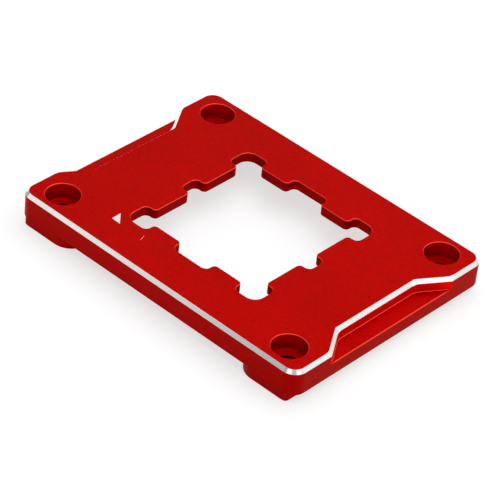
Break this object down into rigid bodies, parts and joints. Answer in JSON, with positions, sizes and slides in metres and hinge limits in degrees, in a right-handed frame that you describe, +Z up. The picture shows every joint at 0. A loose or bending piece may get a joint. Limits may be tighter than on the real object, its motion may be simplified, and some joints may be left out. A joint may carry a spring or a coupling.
{
  "type": "cpu socket retention frame",
  "caption": "Flat rectangular metal frame that clamps a land-grid processor in its socket, with a notched square opening, chamfered rim, scooped ends and counterbored corner holes.",
  "frame": {"origin": "centre of the footprint, on the plane that the four feet stand on", "axes": "+X along the short sides, +Y along the long sides, +Z up out of the face that the screw heads are sunk in"},
  "size_m": [0.054, 0.0732, 0.0072],
  "materials": {
    "anodised_aluminium": "bead-blasted and dyed red, with the rim chamfer cut bright after anodising"
  },
  "bodies": {
    "root": {"retention_frame": "anodised_aluminium"}
  },
  "joints": []
}
